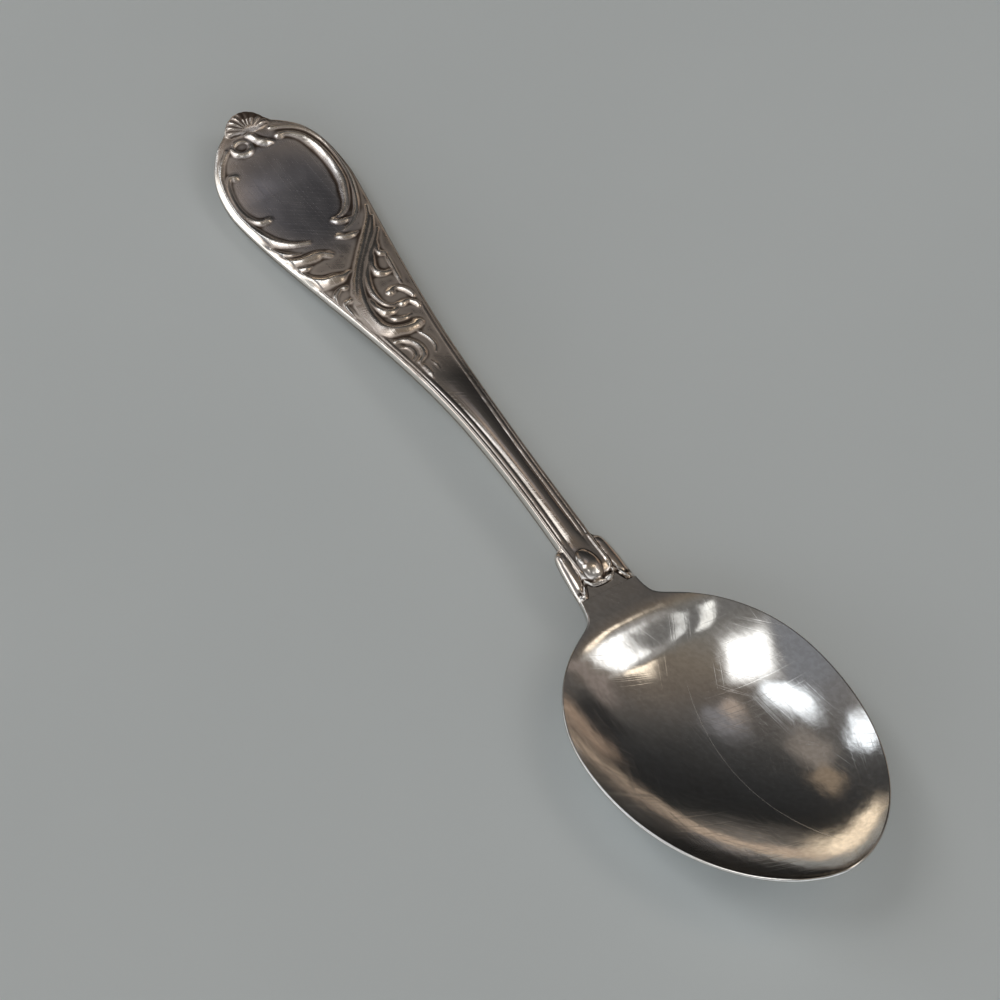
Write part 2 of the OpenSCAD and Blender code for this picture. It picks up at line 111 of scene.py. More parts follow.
ARCH_Z = 9.4
ARCH_BACK = 38
ARCH_POS = HANDLE_LEN - ARCH_BACK
ARCH_RISE_CURVE = 1.1
ARCH_FALL_CURVE = 2.2
END_BACK = 3.2
STEM_BACK = 2
END_FRONT = 0.9
STEM_FRONT = 1.3
SHELL_WALL = 0.6
SEAM_GAP = 0.22
MOUTH_HALF_T = NECK_T / 2 + FIT


def clamp01(t):
    return np.clip(t, 0, 1)


def smooth(t):
    c = clamp01(t)
    return c * c * (3 - 2 * c)


def mix(a, b, t):
    return a + (b - a) * t


def span(a, b, n):
    return np.linspace(a, b, n + 1)[1:]


def end_reach(s):
    return clamp01((END_POS - s) / (END_POS - SHELL_LEAD)) ** END_CURVE


def taper_half(s):
    t = clamp01((s - END_POS) / (WAIST_POS - END_POS))
    flare = clamp01((s - WAIST_POS) / WAIST_BACK) ** FLARE_CURVE
    narrowing = (1 - t**TAPER_START_CURVE) ** TAPER_END_CURVE
    return WAIST_W / 2 + (END_W - WAIST_W) / 2 * narrowing + STEM_FLARE / 2 * flare


def stem_half(s):
    return np.where(s < END_POS, END_W / 2 * np.sqrt(1 - end_reach(s)), taper_half(s))


def lobe_half(s):
    return COLLAR_W / 2 * clamp01((s - LOBE_S) / (LOBE_BACK + LOBE_REACH)) ** LOBE_CURVE


def bowl_t(s):
    return clamp01((s - NECK_S) / BOWL_LEN)


def egg_half(s):
    widest = BOWL_WIDEST / BOWL_LEN
    t = bowl_t(s)
    past = s - NECK_S
    soft_past = (past + np.hypot(past, NECK_SOFT)) / 2
    back = np.sqrt(1 - clamp01(1 - soft_past / BOWL_WIDEST) ** EGG_BACK_CURVE)
    front = (1 - clamp01((t - widest) / (1 - widest)) ** 2) ** EGG_FRONT_CURVE
    return BOWL_W / 2 * np.where(t < widest, back, front)


def neck_half(s):
    fade = clamp01(1 - (NECK_MERGE * bowl_t(s)) ** 2) ** NECK_FADE_CURVE
    return mix(COLLAR_W / 2, NECK_W / 2, smooth((s - SHOULDER_S) / (NECK_S - SHOULDER_S))) * fade


def bowl_half(s):
    return (egg_half(s) ** 3 + neck_half(s) ** 3) ** (1 / 3)


def rim_lift(s):
    t = bowl_t(s)
    return RIM_RISE * mix(np.hypot(t, RIM_SOFT) - RIM_SOFT, t * t, RIM_BOW)


def bowl_dish(s):
    """Depth of the hollow below the rim on the middle line."""
    u = clamp01((s - DISH_S) / (NECK_S + BOWL_WIDEST - DISH_S))
    step = smooth((s - DISH_STEP_S) / DISH_STEP_LEN)
    rear = mix((1 - (1 - u) ** DISH_BACK_CURVE) ** 2, step, DISH_STEP_SHARE)
    front = np.minimum(1, 2 * bowl_half(s) / BOWL_W) ** DISH_FRONT_CURVE
    return BOWL_DEPTH * np.where(u < 1, rear, front)


mouth_z = NECK_Z - NECK_T / 2 + NECK_FALL
seat_z = END_BACK + SEAM_GAP / 2 - REST_FLAT


def seam_z(s):
    """Height of the handle's seam above the table: a lifted tip, a low end, an arch and a fall."""
    end = seat_z + END_LIFT * clamp01((END_POS - s) / END_POS) ** 2
    up = clamp01((s - END_POS) / (ARCH_POS - END_POS)) ** ARCH_RISE_CURVE
    rise = mix(seat_z, ARCH_Z, smooth(up))
    fall = mix(ARCH_Z, mouth_z, clamp01((s - ARCH_POS) / ARCH_BACK) ** ARCH_FALL_CURVE)
    neck = mouth_z - NECK_FALL * (s - HANDLE_LEN) / NECK_LEN
    return np.select([s < END_POS, s < ARCH_POS, s < HANDLE_LEN], [end, rise, fall], neck)


def mouth_share(s):
    return smooth((s - LOBE_S + 2) / (LOBE_BACK + 1))


def stem_share(s):
    narrowing = (END_W - 2 * taper_half(np.minimum(s, WAIST_POS))) / (END_W - WAIST_W)
    return np.where(s < END_POS, 0, clamp01(narrowing))


def front_h(s):
    shaft = mix(END_FRONT, STEM_FRONT, stem_share(s))
    return mix(shaft, MOUTH_HALF_T + SHELL_WALL + LIP_STEP, mouth_share(s))


def back_h(s):
    shaft = mix(END_BACK, STEM_BACK, stem_share(s))
    return mix(shaft, MOUTH_HALF_T + SHELL_WALL, mouth_share(s))


def cavity_front(s):
    return mix(front_h(s) - SHELL_WALL, MOUTH_HALF_T, mouth_share(s))


def cavity_back(s):
    return mix(back_h(s) - SHELL_WALL, MOUTH_HALF_T, mouth_share(s))


def tang_taper(s):
    return mix(TANG_TIP, 1, smooth((s - TANG_S) / (CORE_END_S - TANG_S)))


def tang_half(s):
    spread = smooth((s - LOBE_S - TANG_LEAD) / (LOBE_BACK - TANG_LEAD))
    room = mix(stem_half(s), lobe_half(np.array(HANDLE_LEN)), spread) - SHELL_WALL
    return mix(TANG_FILL, MOUTH_FILL, mouth_share(s)) * room * tang_taper(s)


def tang_mid(s):
    return np.where(s > HANDLE_LEN, 0, (cavity_front(s) - cavity_back(s)) / 2)


def tang_half_t(s):
    inside = TANG_FILL * (cavity_front(s) + cavity_back(s)) / 2 * tang_taper(s)
    return np.where(s > HANDLE_LEN, NECK_T / 2, mix(inside, NECK_T / 2, mouth_share(s)))


def plate_share(s):
    return np.where(s < SHOULDER_S, 1, 1 - smooth((s - SHOULDER_S) / (NECK_S + PLATE_RUN - SHOULDER_S)))


def rim_z(s):
    back = NECK_S - s
    bend = NECK_FALL / NECK_LEN * (back + np.hypot(back, NECK_BEND)) / 2 * (1 - bowl_t(s))
    return np.where(s < SHOULDER_S, seam_z(s) + tang_mid(s) + tang_half_t(s), NECK_Z + rim_lift(s) + bend)


def bowl_rings():
    """Rings from the tang's tip to the bowl's tip: upper face, far rim, under face and near rim."""
    u = span(0, 1, 150)
    egg_s = NECK_S + BOWL_LEN * 0.99998 * mix(u**1.7, 1 - (1 - u) ** 2, smooth(1.4 * u))
    tang = np.concatenate([[TANG_S], span(TANG_S, CORE_END_S, 8), span(CORE_END_S, HANDLE_LEN, 10),
                           [SHOULDER_S - FIT]])
    s = np.concatenate([tang, [SHOULDER_S], span(SHOULDER_S, NECK_S, 16), egg_s])
    half = np.where(s < SHOULDER_S, tang_half(s), bowl_half(s))
    along = np.gradient(s)
    out = np.gradient(half)
    length = np.hypot(along, out)
    normal = np.stack([-out / length, along / length], 1)
    normal[s < SHOULDER_S + 0.5] = (0, 1)
    normal[-1] = (1, 0)
    half[-1] = 0
    inset = np.where(s < SHOULDER_S, TANG_ROUND, RIM_ROUND)
    edge_s = s - inset * normal[:, 0]
    edge_y = half - inset * normal[:, 1]
    edge_y[-1] = 0
    plate = 2 * tang_half_t(s)
    edge_t = mix(RIM_T, plate, plate_share(s))
    wall = mix(plate, BOWL_WALL, smooth((s - NECK_S) / WALL_RUN))
    top = rim_z(s)
    upper_v = np.linspace(-1, 1, 65)
    lower_v = np.linspace(1, -1, 45)
    arc = np.pi * np.arange(1, 8) / 8

    def sheet(v, z):
        return np.stack([np.repeat(edge_s[:, None], len(v), 1), edge_y[:, None] * v, z], 2)

    def rim(side, angles):
        bulge = inset[:, None] * np.sin(angles)
        drop = edge_t[:, None] * (1 - np.cos(angles)) / 2
        return np.stack([edge_s[:, None] + bulge * normal[:, :1],
                         side * (edge_y[:, None] + bulge * normal[:, 1:]),
                         top[:, None] - drop], 2)

    hollow = 1 - np.abs(upper_v) ** HOLLOW_CURVE
    keel = 1 - np.abs(lower_v) ** HOLLOW_CURVE
    dish = bowl_dish(s)
    upper = sheet(upper_v, top[:, None] - dish[:, None] * hollow)
    under = (top - edge_t)[:, None] - (dish + wall - edge_t)[:, None] * keel
    lower = sheet(lower_v, np.maximum(0, under))
    return np.concatenate([upper, rim(1, arc), lower, rim(-1, arc[::-1])], 1)


def ring_piece(name, rings, sharp, marks=None):
    """A closed solid through rows of rings in millimetres: a grid that is wrapped round and capped."""
    rows, ring = rings.shape[:2]
    places = (rings - (TOTAL_LEN / 2, 0, 0)) * MM
    bm = bmesh.new()
    layers = {mark: bm.verts.layers.float.new(mark) for mark in marks or {}}
    made = bmesh.ops.create_grid(bm, x_segments=rows - 1, y_segments=ring, size=1)
    for v in made["verts"]:
        i = round((v.co.x + 1) / 2 * (rows - 1))
        j = round((v.co.y + 1) / 2 * ring) % ring
        v.co = places[i, j]
        for mark, layer in layers.items():
            v[layer] = marks[mark][i, j]
    bmesh.ops.remove_doubles(bm, verts=bm.verts, dist=2e-8)
    bmesh.ops.holes_fill(bm, edges=[e for e in bm.edges if e.is_boundary], sides=0)
    bmesh.ops.recalc_face_normals(bm, faces=bm.faces)
    for face in bm.faces:
        face.smooth = True
    for edge in bm.edges:
        edge.smooth = edge.calc_face_angle(0) < math.radians(sharp)
    mesh = bpy.data.meshes.new(name)
    bm.to_mesh(mesh)
    bm.free()
    piece = bpy.data.objects.new(name, mesh)
    bpy.context.scene.collection.objects.link(piece)
    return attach(piece, "root")


class Shade:
    """A socket of a node tree. Its operators add Math nodes."""

    def __init__(self, tree, socket=None):
        self.tree = tree
        self.socket = socket

    def add(self, kind, settings=None, sockets=None, output=0):
        node = self.tree.nodes.new(kind)
        for name, value in (settings or {}).items():
            if name == "stops":
                for k, (place, colour) in enumerate(value):
                    stop = node.color_ramp.elements[k] if k < 2 else node.color_ramp.elements.new(place)
                    stop.position = place
                    stop.color = colour
            else:
                setattr(node, name, value)
        for key, value in (sockets or {}).items():
            if isinstance(value, Shade):
                self.tree.links.new(value.socket, node.inputs[key])
            else:
                node.inputs[key].default_value = value
        return Shade(self.tree, node.outputs[output])

    def math(self, operation, a, b=0.0):
        return self.add("ShaderNodeMath", {"operation": operation}, {0: a, 1: b})

    def __add__(self, other):
        return self.math("ADD", self, other)

    def __radd__(self, other):
        return self.math("ADD", other, self)

    def __sub__(self, other):
        return self.math("SUBTRACT", self, other)

    def __rsub__(self, other):
        return self.math("SUBTRACT", other, self)

    def __mul__(self, other):
        return self.math("MULTIPLY", self, other)

    def __rmul__(self, other):
        return self.math("MULTIPLY", other, self)

    def __abs__(self):
        return self.math("ABSOLUTE", self)

    def between(self, low, high):
        """0 where this is at most low, 1 where it is at least high."""
        return self.add("ShaderNodeMapRange", {"interpolation_type": "SMOOTHSTEP"},
                        {"Value": self, "From Min": low, "From Max": high})

    def blend(self, a, b):
        """Colour a where this is 0, colour b where it is 1."""
        return self.add("ShaderNodeMix", {"data_type": "RGBA"}, {0: self, 6: a, 7: b}, 2)

    def noise(self, size, detail=2.0, turn=0.0):
        """Noise whose features have these sizes in metres along X, Y and Z, after a turn about Z."""
        place = self.add("ShaderNodeMapping", {"vector_type": "TEXTURE"},
                         {"Vector": self, "Rotation": (0, 0, turn), "Scale": size})
        return self.add("ShaderNodeTexNoise", {}, {"Vector": place, "Scale": 1.0, "Detail": detail})

    def hairlines(self, length, width, turn, thin):
        """Thin lines along X, turned about Z: where stretched noise crosses its middle."""
        return 1 - abs(self.noise((length, width, 1.0), 1.0, turn) - 0.5).between(0.0, thin)


def rgba(r, g, b):
    return (r, g, b, 1.0)


def new_material(name):
    """A material with its tree, its shader node and its Object coordinates."""
    material = bpy.data.materials.new(name)
    material.use_nodes = True
    tree = material.node_tree
    shader = tree.nodes["Principled BSDF"]
    place = Shade(tree).add("ShaderNodeTexCoord", output=3)
    return material, shader, place


def plug(shader, **sockets):
    """Links or values for the shader's sockets; an underscore stands for a blank."""
    for name, value in sockets.items():
        socket = shader.inputs[name.replace("_", " ")]
        if isinstance(value, Shade):
            value.tree.links.new(value.socket, socket)
        else:
            socket.default_value = value


def plain_silver(name, clean, dull):
    """Worn polished silver: patches, a fine haze, crossing scratches and one long scratch along the bowl."""
    material, shader, place = new_material(name)
    patches = place.noise((0.02, 0.012, 0.012), 4.0).between(0.35, 0.7)
    waves = place.noise((0.011, 0.007, 0.007), 2.0)
    haze = place.noise((0.004, 0.0007, 0.0007), 3.0, 0.1)
    stipple = place.noise((0.0011, 0.0007, 0.0007), 3.0, 0.4).between(0.35, 0.65)
    lines = 0.0
    for k, turn in enumerate((0.05, -0.4, 0.6, 1.3)):
        patch = place.noise((0.02, 0.012 + 0.003 * k, 0.5), 2.0, turn).between(0.48, 0.62)
        lines = lines + place.hairlines(0.1, 0.0013 + 0.0002 * k, turn, 0.014) * patch
    past_middle = place.add("ShaderNodeSeparateXYZ", {}, {0: place}) - 0.0725
    off_line = place.add("ShaderNodeSeparateXYZ", {}, {0: place}, 1) - past_middle * past_middle * 7.5
    long_line = (1 - abs(off_line).between(0.0, 0.00012)) * abs(past_middle).between(0.024, 0.018)
    uneven = place.add("ShaderNodeBump", {}, {"Height": waves, "Strength": 1.0, "Distance": 0.00013})
    plug(shader, Base_Color=(patches * 0.7 + stipple * 0.5).blend(clean, dull), Metallic=1.0,
         Specular_Tint=rgba(0.5, 0.48, 0.46),
         Roughness=0.06 + patches * 0.05 + haze * 0.08 + lines * 0.07 + long_line * 0.3,
         Normal=place.add("ShaderNodeBump", {}, {"Height": lines * 0.25 + haze * 0.5, "Strength": 0.12,
                                                 "Distance": 0.0001, "Normal": uneven}))
    return material


bowl = ring_piece("bowl_and_neck", bowl_rings(), 25)
bowl.data.materials.append(plain_silver("bowl_silver", rgba(0.87, 0.865, 0.85), rgba(0.71, 0.69, 0.665)))
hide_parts("bowl")

# Cement core
# Brown resin cement that was poured into the hollow handle round the tang.
# It is sealed in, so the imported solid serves, with a grainy matt finish.
def core_cement():
    material, shader, place = new_material("core_cement")
    grain = place.noise((0.0006, 0.0006, 0.0006), 4.0)
    colour = grain.between(0.35, 0.65).blend(rgba(0.20, 0.12, 0.07), rgba(0.34, 0.22, 0.14))
    plug(shader, Base_Color=colour, Roughness=0.75 + grain * 0.2,
         Normal=place.add("ShaderNodeBump", {}, {"Height": grain, "Strength": 0.4, "Distance": 0.0002}))
    return material


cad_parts["cement_core"].material_slots[0].material = core_cement()

# Back of the handle
# Plain domed half-shell stamped from thin silver sheet, soldered to the front along the seam.
# It rests on the table under the broad end, where it is worn flat.
SHELL_R = 5
SHELL_LEAN = 0.8
SHELL_BACK = 0.6 * END_BACK
SHELL_FADE_S = 0.76 * SHELL_R
SHELL_FADE_LEN = 0.44 * SHELL_R
BACK_CURVE = 1.6
LOBE_EDGE = 3
LOBE_RISE = 1.2
TIP_GAP = 0.01
TIP_WEB = 0.5
LIP_ZONE = 4
CAVITY_S = SHELL_LEAD + SHELL_WALL + TIP_WEB


def shell_half(s):
    return np.sqrt(np.maximum(0, SHELL_R**2 - (np.minimum(s, SHELL_R) - SHELL_R) ** 2)) * (s < SHELL_R)


def handle_half(s):
    return np.maximum(np.maximum(stem_half(s), shell_half(s)), lobe_half(s))


def cavity_half(s):
    stem = np.maximum(stem_half(s), lobe_half(s - 1.5 * SHELL_WALL)) - SHELL_WALL
    return np.where(s < END_POS, stem_half(s - SHELL_WALL) - SHELL_WALL, stem)


def cavity_share(s, y):
    closing = 1 - clamp01((END_POS - s) / (END_POS - CAVITY_S)) ** 4
    across = 1 - np.minimum(1, np.abs(y) / cavity_half(s)) ** 8
    return np.sqrt(closing) * np.maximum(0, across) ** mix(0.25, 0.05, mouth_share(s))


def stem_fill(s, y, edge):
    """1 on the middle line, falling to 0 at the stem's edge, flatter for a larger edge."""
    f = np.where(s < END_POS, end_reach(s) + (2 * y / END_W) ** 2, (y / stem_half(np.maximum(s, 3))) ** 2)
    return np.sqrt(np.maximum(0, 1 - f**edge))


def shell_fill(s, y):
    fade = 1 - smooth((s - SHELL_FADE_S) / SHELL_FADE_LEN)
    return fade * np.sqrt(np.maximum(0, 1 - (np.hypot(s - SHELL_R, y) / SHELL_R) ** 3))


def lean(s):
    return SHELL_LEAN * (1 - smooth((s - SHELL_R / 2) / SHELL_R))


def lobe_fill(s, y, edge):
    across = np.minimum(1, np.abs(y) / np.maximum(lobe_half(s), 0.01)) ** (2 * edge)
    return np.where(s <= LOBE_S, 0, np.sqrt(1 - across) * np.sqrt(clamp01((s - LOBE_S) / LOBE_RISE)))


def lip_share(row):
    return smooth((row - HANDLE_LEN + LIP_ZONE) / LIP_ZONE)


def cavity_row(row):
    return CAVITY_S + row * (1 - CAVITY_S / HANDLE_LEN)


def back_drop(s, y):
    stem = back_h(s) * stem_fill(s, y, BACK_CURVE)
    shell = SHELL_BACK * shell_fill(s, y)
    lobes = (MOUTH_HALF_T + SHELL_WALL) * lobe_fill(s, y, LOBE_EDGE)
    return np.maximum(np.maximum(stem, shell), lobes)


def tip_rows(n):
    return TIP_GAP + (SHELL_R - TIP_GAP) * (1 - np.cos(np.pi / 2 * np.arange(n + 1) / n))


def cavity_face(rows, lips, v, side):
    """The inner face of a half-shell: rows along the handle, columns v across it."""
    s = cavity_row(rows)[:, None] + lip_share(rows)[:, None] * lips(v * COLLAR_W / 2)
    y = v * cavity_half(s)
    h = cavity_front(s) if side > 0 else cavity_back(s)
    return np.stack([s, y, seam_z(s) + side * (SEAM_GAP / 2 + h * cavity_share(s, y))], 2)


def back_rings():
    """Rings along the handle: the domed outer face, then the cavity's face."""
    rows = np.concatenate([tip_rows(20), span(SHELL_R, END_POS, 30), span(END_POS, LOBE_S, 90),
                           span(LOBE_S, LOBE_S + LOBE_RISE, 8),
                           span(LOBE_S + LOBE_RISE, HANDLE_LEN, 16)])
    v = np.sin(np.pi / 2 * np.linspace(1, -1, 57))
    inner_v = np.sin(np.pi / 2 * np.linspace(-1, 1, 11))

    def even_lip(y):
        return np.full_like(y, LOBE_REACH)

    s = rows[:, None] + lip_share(rows)[:, None] * even_lip(v)
    y = v * handle_half(s)
    outer = np.stack([s, y - lean(s), np.maximum(0, seam_z(s) - SEAM_GAP / 2 - back_drop(s, y))], 2)
    inner = cavity_face(rows, even_lip, inner_v, -1)
    return np.concatenate([outer, inner], 1)


back = ring_piece("handle_back_shell", back_rings(), 55)
back.data.materials.append(plain_silver("back_silver", rgba(0.86, 0.82, 0.77), rgba(0.66, 0.58, 0.51)))
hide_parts("handle_back")

# Solder line
# A thin line of silver solder that closes the seam between the two half-shells.
# It was filed flush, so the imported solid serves, duller and greyer than the sheet.
def seam_silver():
    material, shader, place = new_material("seam_solder_grey")
    pits = place.noise((0.0004, 0.0004, 0.0004), 3.0)
    colour = pits.between(0.4, 0.7).blend(rgba(0.52, 0.49, 0.46), rgba(0.30, 0.27, 0.25))
    plug(shader, Base_Color=colour, Metallic=1.0, Roughness=0.35 + pits * 0.2,
         Normal=place.add("ShaderNodeBump", {}, {"Height": pits, "Strength": 0.2, "Distance": 0.0001}))
    return material


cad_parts["seam_solder"].material_slots[0].material = seam_silver()

# Front of the handle
# Half-shell of thin silver sheet, struck in a die: fan shell, blank cartouche, scrolls, leaves and threads.
# It ends in lips that lie on the neck. The high places are bright from handling, the recesses tarnished, the
# near edge has a painted highlight and the far edge painted shade.
SHELL_RIBS = 10
SHELL_FRONT = 1.6
FAN_S = 4.8
FLUTE_SHARE = 0.22
FLUTE_CURVE = 0.8
CROWN_H = 0.9
CROWN_FAR = 0.25
STROKE_W = 1.6
RIDGE_SHARE = 0.5
RIDGE_GAIN = 0.35
RIDGE_LEAN = 0.25
RIDGE_CURVE = 1.2
STROKE_END = 0.3
BOSS_SHARE = 0.5
GROOVE_DEPTH = 0.05
GROOVE_W = 0.45
THREAD_H = 0.11
THREAD_HALF = 0.42
OUTER_THREAD = 0.5
OUTER_THREAD_S = 42
INNER_THREAD = 1.35
INNER_THREAD_FAR_S = 59.3
INNER_THREAD_NEAR_S = 53
STEM_END_S = 121
RIB_H = 0.4
RIB_S = 72
RIB_INSET = 1.85
DROP_W = 3.8
DROP_H = 0.7
DROP_S = 128.5
DROP_Y = -0.6
DROP_LONG = 3.5
DROP_WIDE = 1.9
DROP_CURVE = 0.8
LOBE_BASE = MOUTH_HALF_T + 0.28
PUFF_H = 0.35
PUFF_Y = 4.3
PUFF_HALF = 1.4
LIP_ROLL = 0.5
# Strengths of the painted highlight on the near edge and of the painted shade on the far edge
EDGE_HIGHLIGHT = 0.85
EDGE_SHADE = 0.85
WEAR_RANGE = 0.3
WEAR_BLUR = 30
BLANK_S = 22
BLANK_Y = -0.6
BLANK_LONG = 17
BLANK_WIDE = 9.4

# Each scroll: half width in mm, share of it at the start and at the end, and points as
# [distance from the tip in mm, percent of the half width of the handle], minus on the near side
SCROLLS = [
    # Double C-scroll on the far side of the cartouche, each line ending in a hook
    [0.85, 0.7, 0.5, [[7.7, 40], [7.9, 52], [8.9, 64], [10.5, 72], [13, 77], [16, 79], [19, 79],
                      [21.5, 78], [24, 76], [26.2, 71], [28.5, 64], [30.3, 53], [31.2, 43], [31.5, 36]]],
    [0.6, 0.7, 0.5, [[5.5, 46], [6, 64], [7.4, 82], [9.5, 89], [12, 91], [15, 91], [18, 90], [20.5, 89],
                     [23, 88], [25.5, 85], [28.7, 79], [31.2, 71], [33.3, 58], [34.5, 46], [35.2, 30]]],
    [0.6, 0.5, 0.9, [[32.9, 53], [33, 40], [32.6, 30], [31.9, 25]]],
    [0.6, 0.5, 0.9, [[37.1, 48], [37.2, 33], [36.9, 22], [36.2, 14]]],
    # Rim scroll and inner C-scroll on the near side
    [1.0, 0.5, 0.45, [[6.5, -70], [9, -84], [13, -91], [20, -93], [25, -92], [29, -86], [31.5, -75],
                      [33.3, -60], [34.2, -46], [34.6, -37]]],
    [0.8, 0.6, 0.8, [[12.3, -66], [12, -76], [14, -84], [18, -87], [21.5, -86], [23.8, -80], [24.8, -70],
                     [24.9, -62]]],
    # Leaves that sweep in from the near rim
    [0.75, 0.8, 0.4, [[30.5, -101], [33.5, -92], [35.5, -78], [36.2, -63]]],
    [1.05, 1, 0.6, [[34, -101], [36.5, -92], [38, -75], [38.4, -55], [38.6, -38], [39.2, -30], [39.8, -22]]],
    [0.7, 0.8, 0.4, [[38.5, -98], [39.8, -85], [40.3, -68]]],
    [1.3, 1, 0.4, [[40.5, -102], [43.5, -92], [45.3, -75], [46, -55], [46.3, -38], [45.8, -18]]],
    # Buds under the shell
    [0.6, 0.8, 0.8, [[6.6, -60], [8, -49], [8.8, -35], [8.5, -24], [7.6, -20]]],
    [0.4, 0.9, 0.8, [[7.6, -19], [6.3, -22], [5.6, -34], [5.7, -49], [6.4, -56]]],
    [0.8, 1, 0.5, [[5.6, -5], [6.6, -2], [7.8, 8], [8.5, 20]]],
    # The S-shaped spine and its leaves
    [0.7, 0.5, 0.5, [[31.5, 89], [35, 79], [39, 55], [43, 25], [47, -8], [51, -38], [55, -62], [59, -75],
                     [61.5, -80]]],
    [0.75, 0.5, 1, [[34.5, 88], [38, 74], [42, 45], [46, 12], [50, -18], [54, -42]]],
    [1.15, 0.65, 0.8, [[50, -18], [54, -42], [58, -56], [61.5, -58], [63.8, -40], [64.8, -8], [65, 25],
                       [64.6, 42]]],
    [0.7, 0.5, 0.5, [[38, 85], [41, 66], [45, 34], [49, 5], [52.5, -10], [55.5, -12], [57.5, -3],
                     [58.3, 12], [58.2, 25]]],
    [0.8, 0.4, 0.5, [[53.5, -26], [56.5, -32], [58.8, -22], [59.6, -2], [59.2, 14]]],
    [0.5, 0.5, 0.5, [[60.5, -22], [61.8, -5], [62.2, 15], [62, 36]]],
    # Small C-scrolls and curls of the far field
    [0.55, 0.6, 1, [[41.5, 68], [43.2, 60], [44.5, 62], [45, 70]]],
    [0.75, 0.7, 0.7, [[44.5, 44], [46.5, 32], [48.6, 30], [49.8, 42], [49.9, 56]]],
    [0.4, 0.6, 0.6, [[44.5, 72], [50, 68], [54, 64]]],
    [0.55, 1.2, 0.8, [[55, 27], [54.3, 40], [55, 56], [56.3, 68], [58, 74]]],
    [0.55, 1.2, 0.8, [[58.7, 36], [58.6, 52], [59.5, 66], [60.8, 72]]],
    # Curls of the near field
    [0.5, 1.1, 0.6, [[49, -50], [48.8, -62], [49.8, -80], [51.5, -92]]],
    [0.5, 1.1, 0.6, [[52.6, -64], [52.6, -76], [54, -86], [57, -90]]],
    # Raised crescent and bud where the stem begins
    [0.75, 0.6, 0.6, [[66.6, -60], [67.3, -32], [69, -14], [71, -10], [72.7, -21], [73.6, -47]]],
    [0.5, 0.6, 0.6, [[68.6, -60], [69.3, -41], [70.6, -35], [72, -43], [72.6, -63]]],
    [0.5, 0.6, 0.5, [[73.9, -51], [75.5, -46], [77.3, -46], [78.6, -52]]],
    [0.4, 0.6, 0.5, [[74.5, -12], [76, -6], [77.5, -10], [78.5, -26]]],
    [0.35, 0.6, 0.6, [[65.5, 12], [68, 32], [71, 40], [73, 25]]],
    # Threads that run on to the mouth
    [0.4, 0.8, 1, [[121, 88], [126, 86], [130.6, 85]]],
    [0.4, 0.8, 1, [[121, -88], [126, -86], [130.6, -85]]],
]

# Round bosses: distance from the tip, percent of the half width, radius in mm
BOSSES = [
    [31.9, 25, 0.75], [36.2, 14, 0.75], [39.2, -27, 0.8], [6.2, -4, 0.8], [7.8, 40, 0.8],
    [12.4, -67, 0.75], [24.9, -62, 0.7], [44.6, 62, 0.7], [49, -52, 0.65], [52.7, -66, 0.65],
    [55, 28, 0.75], [58.7, 38, 0.7], [131.9, 42, 0.7],
]


def across_at(s, percent):
    """The y at this distance from the tip and this percent of the half width."""
    return percent / 100 * float(stem_half(np.array(float(s))))


def scroll_line(points):
    """Places along a smooth line through the points."""
    p = np.array([[s, across_at(s, percent)] for s, percent in points])
    line = []
    for i in range(len(p) - 1):
        a, b, c, d = p[max(i - 1, 0)], p[i], p[i + 1], p[min(i + 2, len(p) - 1)]
        for t in np.arange(6) / 6:
            line.append((2 * b + (c - a) * t + (2 * a - 5 * b + 4 * c - d) * t**2
                         + (3 * b - a - 3 * c + d) * t**3) / 2)
    return np.array(line + [p[-1]])


def ridge_into(height, groove, distance, radius, rise):
    """Raises a ridge where the distance is below the radius, with a groove beside it."""
    inside = rise * np.maximum(0, 1 - (distance / radius) ** RIDGE_CURVE)
    height[:] = np.maximum(height, inside)
    beside = np.exp(-(((distance - radius) / GROOVE_W) ** 2)) * np.minimum(1, radius)
    groove[:] = np.maximum(groove, beside)


def struck_relief(s, y):
    """Height of the scrolls and bosses above the field, with grooves beside them."""
    height = np.zeros_like(s)
    groove = np.zeros_like(s)
    for half, start, end, points in SCROLLS:
        line = scroll_line(points)
        half = STROKE_W * half
        reach = 1.25 * half + 3 * GROOVE_W
        near = ((s > line[:, 0].min() - reach) & (s < line[:, 0].max() + reach)
                & (y > line[:, 1].min() - reach) & (y < line[:, 1].max() + reach))
        ps, py = s[near], y[near]
        steps = np.hypot(*np.diff(line, axis=0).T)
        run = np.concatenate([[0], np.cumsum(steps)]) / steps.sum()
        best = np.full(ps.shape, 1e9)
        facing = np.zeros(ps.shape)
        place = np.zeros(ps.shape)
        for k in range(len(line) - 1):
            a, b = line[k], line[k + 1]
            ab = b - a
            t = clamp01(((ps - a[0]) * ab[0] + (py - a[1]) * ab[1]) / (ab @ ab))
            aside = py - a[1] - t * ab[1]
            d = np.hypot(ps - a[0] - t * ab[0], aside)
            closer = d < best
            best = np.where(closer, d, best)
            facing = np.where(closer, aside, facing)
            place = np.where(closer, mix(run[k], run[k + 1], t), place)
        radius = half * np.where(place < STROKE_END, mix(start, 1, smooth(place / STROKE_END)),
                                 mix(end, 1, smooth((1 - place) / STROKE_END)))
        h, g = height[near], groove[near]
        clear = np.maximum(best, 0.001)
        leaning = radius * (1 - RIDGE_LEAN * facing / clear)
        gain = 1 + RIDGE_GAIN * py / stem_half(ps) * (facing / clear) ** 2
        ridge_into(h, g, best, leaning, RIDGE_SHARE * gain * radius)
        height[near], groove[near] = h, g
    for at, percent, radius in BOSSES:
        distance = np.hypot(s - at, y - across_at(at, percent))
        ridge_into(height, groove, distance, STROKE_W * radius, BOSS_SHARE * radius)
    return height - GROOVE_DEPTH * groove


